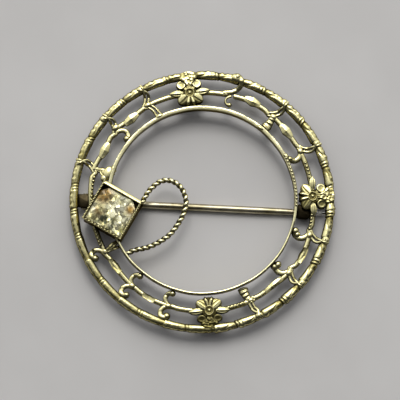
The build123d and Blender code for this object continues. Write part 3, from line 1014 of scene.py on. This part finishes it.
def plate(shape, outline, origin, x_axis, y_axis, thickness, crest):
    """A flat piece: its outline in two axes, and its thickness each way from the origin."""
    flat = np.array(outline, float)
    ahead = np.roll(flat, -1, axis=0) - np.roll(flat, 1, axis=0)
    inward = unit(np.stack([-ahead[:, 1], ahead[:, 0]], axis=1))
    z_axis = np.cross(x_axis, y_axis)
    rows = []
    for shrink, lift in ((plate_edge, -1), (0, -1), (0, 1), (plate_edge, 1)):
        at = flat + inward * shrink
        depth = lift * (thickness / 2 - (0 if shrink else plate_edge))
        rows.append(origin + at[:, :1] * x_axis + at[:, 1:] * y_axis + depth * z_axis)
    shape.grid(np.array(rows), crest)


def block(shape, middle, length, width, crest):
    """A flat block with soft edges on the plane of the ring's back, along the stem. middle is in
    that plane."""
    rows = []
    for shrink, height in ((block_edge, 0), (0, block_edge), (0, sheet - block_edge), (block_edge, sheet)):
        flat = box_ring(length - 2 * shrink, width - 2 * shrink, 0.06)
        rows.append(middle + stem_along * flat[:, :1] + stem_across * flat[:, 1:] + UP * height)
    shape.grid(np.array(rows), crest)


def build_hinge(shape):
    flat = np.array([hinge_point[0], hinge_point[1], 0.0])
    back = UP * ring_back
    ears_outside = knuckle_width + 2 * side_gap + 2 * ear_thickness
    hinge_radius = hypot(hinge_point[0], hinge_point[1])
    start = hinge_radius - rim_inside - plate_overlap
    end = hinge_radius - wire_radius + 0.2 + plate_overlap
    middle = flat + back + stem_along * (start + end) / 2
    block(shape, middle, end - start, ears_outside, 0.5)
    lower = [(-stem_height * cos(a), stem_height - stem_height * sin(a)) for a in np.linspace(0, pi, 17)]
    outline = lower + [(stem_height, ring_back + 0.05), (-stem_height, ring_back + 0.05)]
    for way in (-1, 1):
        middle = flat + stem_across * way * (ears_outside - ear_thickness) / 2
        plate(shape, outline, middle, stem_along, UP, ear_thickness, 0.3)


def build_catch(shape):
    middle = hinge_point + stem_along * stem_length
    gap = radians(90 - throat_turn)
    turns = np.linspace(-pi / 2 + gap, 3 * pi / 2 - gap, 25)
    outer = [(catch_outside * cos(a), catch_outside * sin(a)) for a in turns]
    inner = [(catch_bore * cos(a), catch_bore * sin(a)) for a in turns[::-1]]
    plate(shape, outer + inner, middle, stem_across, UP, catch_length, 0.25)
    block(shape, np.array([middle[0], middle[1], ring_back]), 2.0, 2 * catch_outside, 0.3)


def build_stem(shape):
    taper_start = stem_length - catch_length / 2 - taper_length
    tip_end = stem_length + tip_overrun
    stations = [(stem_start, 0.3), (0.42, stem_radius), (taper_start, stem_radius)]
    stations += [(taper_start + taper_length, catch_radius), (tip_end - point_length, catch_radius)]
    stations += [(tip_end - 0.08, tip_radius * 1.6), (tip_end, tip_radius * 0.5)]
    places, radii = np.array(stations).T
    at = np.unique(np.concatenate([np.linspace(stem_start, tip_end, 220), places]))
    radius = np.interp(at, places, radii)
    ring = circle(28, stem_across, UP)
    points = hinge_point + at[:, None, None] * stem_along + radius[:, None, None] * ring
    # Crest values rise at the point: a ground finish and a painted highlight.
    ground_and_highlight = np.interp(at, (stem_length + 0.4, stem_length + 0.9), (0.5, 1.0))
    shape.grid(points, ground_and_highlight[:, None])
    half = knuckle_width / 2
    edge = knuckle_radius - 0.04
    section = [(bore_radius, -half), (edge, -half), (knuckle_radius, 0.04 - half)]
    section += [(radius, -across) for radius, across in section[::-1]]
    ring = circle(36, stem_along, UP)
    points = np.array([hinge_point + radius * ring + stem_across * across for radius, across in section])
    shape.grid(points, 0.4, along=True)


# Materials
def nodes_of(name):
    """A new material with its node tree and its shader."""
    material = bpy.data.materials.new(name)
    material.use_nodes = True
    return material, material.node_tree, material.node_tree.nodes["Principled BSDF"]


def fill(tree, node, inputs):
    """Each named input of a node set to a value, or linked to an output."""
    for name, value in inputs.items():
        socket = node.inputs[name]
        if isinstance(value, bpy.types.NodeSocket):
            tree.links.new(value, socket)
        else:
            socket.default_value = (*value, 1.0) if socket.type == "RGBA" else value


def add(tree, kind, inputs, **settings):
    """The outputs of a new node with these settings and inputs."""
    node = tree.nodes.new("ShaderNode" + kind)
    for name, value in settings.items():
        setattr(node, name, value)
    fill(tree, node, inputs)
    return node.outputs


def noise(tree, scale, detail, vector=None):
    """Noise with scale features per unit, in the object's own coordinates or in those given."""
    if vector is None:
        vector = add(tree, "TexCoord", {})["Object"]
    inputs = {"Vector": vector, "Scale": scale, "Detail": detail, "Roughness": 0.55}
    return add(tree, "TexNoise", inputs)["Fac"]


def ramp(tree, value, low, high, start=0.0, end=1.0):
    """A value carried from low..high to start..end."""
    inputs = {"Value": value, "From Min": low, "From Max": high, "To Min": start, "To Max": end}
    return add(tree, "MapRange", inputs, interpolation_type="SMOOTHSTEP")["Result"]


def mix(tree, factor, first, second):
    """Two colours, or two colour outputs, mixed by a factor."""
    return add(tree, "Mix", {"Factor": factor, 6: first, 7: second}, data_type="RGBA")[2]


def arithmetic(tree, operation, first, second):
    """One operation on two values or outputs."""
    return add(tree, "Math", {0: first, 1: second}, operation=operation)["Value"]


def vectors(tree, operation, *values):
    """One operation on vectors or outputs."""
    return add(tree, "VectorMath", dict(enumerate(values)), operation=operation)["Vector"]


def bump(tree, height, strength, distance):
    """The normal of a bump, its distance in metres."""
    return add(tree, "Bump", {"Height": height, "Strength": strength, "Distance": distance})["Normal"]


gold = (0.86, 0.79, 0.41)
pale_gold = (0.92, 0.86, 0.5)
deep_gold = (0.52, 0.44, 0.12)
# Side colour: painted shade on upright and downward-facing sides.
gold_side_shade = (0.27, 0.22, 0.075)
# A dark tan for the hinge and catch: a duller brass, darkened further as painted shade where they lie
# under the ring.
shaded_tan = (0.16, 0.13, 0.07)


def brass(name, bright, deep, dirt_and_shade, side, polish):
    """Worn brass: bright on its crests and deeper lower down, as wear and as painted highlight and
    shade, with dirt and painted shade in its grooves and hollows, and painted shade on its upright
    and downward-facing sides. polish is the roughness of its crests."""
    material, tree, shader = nodes_of(name)
    height = add(tree, "Attribute", {}, attribute_name="crest")["Fac"]
    # Ambient occlusion darkens the hollows and the gaps between parts: dirt and painted shade.
    near_hollow_shade = add(tree, "AmbientOcclusion", {"Distance": 0.5 * MM}, samples=6)["AO"]
    wide_hollow_shade = add(tree, "AmbientOcclusion", {"Distance": 2.5 * MM}, samples=6)["AO"]
    patches = noise(tree, 380, 3)
    grain = noise(tree, 2300, 5)
    # The tone follows the crest values: wear, with a painted highlight on tops and painted shade lower
    # down.
    tone = ramp(tree, arithmetic(tree, "ADD", height, patches), 0.55, 1.5)
    wide_unshaded = ramp(tree, wide_hollow_shade, 0.3, 0.8, 0.25, 1.0)
    unshaded_share = arithmetic(tree, "MULTIPLY", ramp(tree, near_hollow_shade, 0.3, 0.85), wide_unshaded)
    worn_and_lit = arithmetic(tree, "MULTIPLY", unshaded_share, ramp(tree, height, 0.15, 0.85, 0.08, 1.0))
    # Sides whose normal leans away from up take the side colour: painted shade.
    lie = add(tree, "SeparateXYZ", {"Vector": add(tree, "NewGeometry", {})["Normal"]})["Z"]
    metal_and_side_shade = mix(tree, ramp(tree, lie, 0.25, 0.8), side, mix(tree, tone, deep, bright))
    dull = ramp(tree, worn_and_lit, 0.0, 1.0, 0.4, polish)
    inputs = {
        "Base Color": mix(tree, worn_and_lit, dirt_and_shade, metal_and_side_shade),
        "Metallic": 1.0,
        "Specular Tint": (0.3, 0.26, 0.16),
        "Roughness": arithmetic(tree, "ADD", dull, ramp(tree, grain, 0.3, 0.7, -0.05, 0.09)),
        "Normal": bump(tree, grain, 0.5, 0.04 * MM),
    }
    fill(tree, shader, inputs)
    return material


def steel(name):
    """Drawn steel wire, grey with a little yellow and fine lines along it, ground bright at its
    point, where its colour is also lifted near white as a painted highlight."""
    material, tree, shader = nodes_of(name)
    along = (0, 0, -atan2(stem_along[1], stem_along[0]))
    inputs = {"Vector": add(tree, "TexCoord", {})["Object"], "Rotation": along, "Scale": (0.06, 1, 1)}
    lines = noise(tree, 5200, 3, add(tree, "Mapping", inputs)["Vector"])
    colour = mix(tree, ramp(tree, noise(tree, 500, 4), 0.35, 0.7), (0.33, 0.29, 0.17), (0.58, 0.53, 0.39))
    # The point's colour lifts near white: a ground finish and a painted highlight.
    ground_and_highlight = ramp(tree, add(tree, "Attribute", {}, attribute_name="crest")["Fac"], 0.55, 0.95)
    smoother = ramp(tree, ground_and_highlight, 0.0, 1.0, 0.0, 0.12)
    inputs = {
        "Base Color": mix(tree, ground_and_highlight, colour, (0.95, 0.93, 0.86)),
        "Metallic": 1.0,
        "Roughness": arithmetic(tree, "SUBTRACT", ramp(tree, lines, 0.3, 0.7, 0.26, 0.42), smoother),
        "Normal": bump(tree, lines, 0.3, 0.02 * MM),
    }
    fill(tree, shader, inputs)
    return material


# Stains of the stone: where they lie, and the radii at which they are full and gone
Stain = namedtuple("Stain", "x y full gone")
amber_stains = [Stain(-11.0, 1.1, 0.5, 1.7), Stain(-8.1, -0.9, 0.2, 0.9), Stain(-11.6, -0.8, 0.1, 1.0)]
olive_stain = Stain(-9.5, -3.2, 0.2, 1.2)
flecked = Stain(-10.9, -2.1, 0.4, 1.8)


def foiled_glass(name):
    """A clear stone over crackled foil: each cell of the foil leans its own way."""
    material, tree, shader = nodes_of(name)
    place = add(tree, "TexCoord", {})["Object"]

    def stain(row):
        apart = vectors(tree, "MULTIPLY_ADD", place, (1.0, 1.0, 0.0), (-row.x * MM, -row.y * MM, 0.0))
        length = add(tree, "VectorMath", {0: apart}, operation="LENGTH")["Value"]
        return ramp(tree, length, row.full * MM, row.gone * MM, 1.0, 0.0)

    swirl = add(tree, "TexNoise", {"Vector": place, "Scale": 700, "Detail": 2})["Color"]
    bent = vectors(tree, "MULTIPLY_ADD", swirl, (0.9 * MM,) * 3, place)
    cells = add(tree, "TexVoronoi", {"Vector": bent, "Scale": 2500})["Color"]
    cracks = add(tree, "TexVoronoi", {"Vector": bent, "Scale": 1900}, feature="DISTANCE_TO_EDGE")
    lean = vectors(tree, "MULTIPLY_ADD", cells, (0.7, 0.7, 0.2), (-0.35, -0.21, -0.1))
    leant = vectors(tree, "ADD", add(tree, "NewGeometry", {})["Normal"], lean)
    blotches = noise(tree, 900, 3)
    amber = stain(amber_stains[0])
    for row in amber_stains[1:]:
        amber = arithmetic(tree, "MAXIMUM", amber, stain(row))
    amber = arithmetic(tree, "MULTIPLY", amber, ramp(tree, blotches, 0.3, 0.52))
    olive = arithmetic(tree, "MULTIPLY", stain(olive_stain), ramp(tree, blotches, 0.6, 0.4))
    fleck_room = ramp(tree, stain(flecked), 0.0, 1.0, 0.2, 1.0)
    flecks = arithmetic(tree, "MULTIPLY", ramp(tree, noise(tree, 1500, 4), 0.5, 0.56), fleck_room)
    shade = ramp(tree, noise(tree, 420, 2), 0.4, 0.58, 0.3, 0.0)
    base = mix(tree, ramp(tree, blotches, 0.35, 0.65), (0.62, 0.57, 0.27), (0.96, 0.93, 0.66))
    base = mix(tree, shade, base, (0.26, 0.25, 0.09))
    base = mix(tree, amber, base, (0.24, 0.13, 0.012))
    base = mix(tree, olive, base, (0.55, 0.52, 0.12))
    base = mix(tree, flecks, base, (0.07, 0.08, 0.035))
    whole = ramp(tree, cracks["Distance"], 0.0, 0.09, 0.15, 1.0)
    inputs = {
        "Base Color": mix(tree, whole, (0.20, 0.16, 0.05), base),
        "Metallic": 0.55,
        "Roughness": ramp(tree, noise(tree, 3000, 3), 0.3, 0.7, 0.2, 0.42),
        "Normal": vectors(tree, "NORMALIZE", leant),
        "Coat Weight": 0.6,
        "Coat Roughness": 0.04,
        "Coat IOR": 1.5,
    }
    fill(tree, shader, inputs)
    return material


def table_cover(name):
    """A plain pale floor."""
    material, tree, shader = nodes_of(name)
    shade = ramp(tree, noise(tree, 60, 3), 0.3, 0.7)
    colour = mix(tree, shade, (0.63, 0.615, 0.60), (0.67, 0.655, 0.64))
    fill(tree, shader, {"Base Color": colour, "Roughness": 0.85})
    return material


gilt = brass("gilt_worn", gold, deep_gold, (0.045, 0.035, 0.01), gold_side_shade, 0.2)
# This brass has darker side and dirt colours: painted shade along the flanks and in the gaps.
gilt_rim = brass("gilt_rim", gold, deep_gold, (0.03, 0.024, 0.008), (0.14, 0.115, 0.04), 0.2)
gilt_edge = brass("gilt_polished", pale_gold, (0.6, 0.52, 0.16), (0.05, 0.04, 0.012), gold_side_shade, 0.16)
# Hinge and catch brass, dark as painted shade under the ring.
shaded_dull_brass = brass("brass_dull_shaded", shaded_tan, (0.09, 0.07, 0.035), (0.02, 0.015, 0.008), (0.05, 0.04, 0.02), 0.5)
steel_wire = steel("steel_drawn")
stone_foiled = foiled_glass("stone_foiled")

# Pieces: what builds them, the angle from which their edges are sharp, the body that they ride
# on, the node that they stand for, and the name of a slot
Piece = namedtuple("Piece", "build name material crease body node slot")
frame_parts = ("brooch", "brooch_frame", "gilt_brass")
pieces = [
    Piece(build_outer_rim, "outer_rim", gilt_rim, 75, *frame_parts),
    Piece(build_inner_rim, "inner_rim", gilt_edge, 50, *frame_parts),
    Piece(build_scrollwork, "scrollwork", gilt_rim, 50, *frame_parts),
    Piece(build_lozenges, "lozenges", gilt_rim, 9, *frame_parts),
    Piece(build_flowers, "flowers", gilt_rim, 70, *frame_parts),
    Piece(build_setting, "setting", gilt, 50, *frame_parts),
    Piece(build_loop, "loop_wire", gilt_edge, 50, *frame_parts),
    Piece(build_hinge, "hinge_ears", shaded_dull_brass, 50, *frame_parts),
    Piece(build_catch, "catch_hook", shaded_dull_brass, 50, *frame_parts),
    Piece(build_stem, "stem", steel_wire, 50, "pin", "pin_stem", "pin_steel"),
    Piece(build_stone, "stone_cut", stone_foiled, 20, "brooch", "stone", "stone_glass"),
]
for row in pieces:
    shape = Shape()
    row.build(shape)
    shape.piece(row.name, row.body, row.node, row.slot, row.material, row.crease)
for node, material in (("stone", stone_foiled), ("hinge_rivet", steel_wire)):
    mesh = frame["nodes"][node].data
    mesh.materials.clear()
    mesh.materials.append(material)


# Floor
half_floor = 0.6
floor_corners = [(x * half_floor, y * half_floor, 0) for x, y in ((-1, -1), (1, -1), (1, 1), (-1, 1))]
floor_mesh = bpy.data.meshes.new("floor")
floor_mesh.from_pydata(floor_corners, [], [(0, 1, 2, 3)])
floor_mesh.materials.append(table_cover("floor_pale"))
floor = bpy.data.objects.new("floor", floor_mesh)
bpy.context.scene.collection.objects.link(floor)


# Light
def soft_light(name, place, size, power, colour):
    """A square light of a size in metres, aimed at the ring."""
    data = bpy.data.lights.new(name, "AREA")
    data.size = size
    data.energy = power
    data.color = colour
    light = bpy.data.objects.new(name, data)
    light.location = place
    light.rotation_euler = (-Vector(place)).to_track_quat("-Z", "Y").to_euler()
    bpy.context.scene.collection.objects.link(light)


def studio(name):
    """A soft world, brighter towards +Y and nearly dark towards -Y."""
    world = bpy.data.worlds.new(name)
    world.use_nodes = True
    sky = world.node_tree
    place = add(sky, "TexCoord", {})["Generated"]
    towards = add(sky, "VectorMath", {0: place, 1: (0.0, 0.85, 0.25)}, operation="DOT_PRODUCT")["Value"]
    clouds = ramp(sky, noise(sky, 2.2, 2, place), 0.3, 0.7, 0.7, 1.25)
    strength = arithmetic(sky, "MULTIPLY", ramp(sky, towards, 0.0, 0.72, 0.04, 1.22), clouds)
    fill(sky, sky.nodes["Background"], {"Color": (0.97, 0.98, 1.0), "Strength": strength})
    return world


soft_light("key", (0.02, 0.36, 0.5), 0.28, 1.35, (1.0, 0.985, 0.95))
bpy.context.scene.world = studio("studio")
bpy.context.scene.view_settings.view_transform = "Standard"


# Camera: over the ring, a little towards its lower side, as in the photograph
camera_tilt = -8.966
camera_lean = 0.781
camera_roll = 3.726
camera_distance = 200.0
camera_aim = (-0.229, 0.334)
pixels_per_mm = 8.793
image_pixels = 400
turn = (
    Matrix.Rotation(radians(camera_lean), 3, "Y")
    @ Matrix.Rotation(radians(camera_tilt), 3, "X")
    @ Matrix.Rotation(radians(camera_roll), 3, "Z")
).transposed()
camera_data = bpy.data.cameras.new("camera")
camera_data.sensor_width = 36.0
camera_data.lens = camera_data.sensor_width * pixels_per_mm * camera_distance / image_pixels
camera_data.clip_start = 0.01
camera = bpy.data.objects.new("camera", camera_data)
camera.location = turn @ Vector((*camera_aim, camera_distance)) * MM
camera.rotation_euler = turn.to_euler()
bpy.context.scene.collection.objects.link(camera)
bpy.context.scene.camera = camera
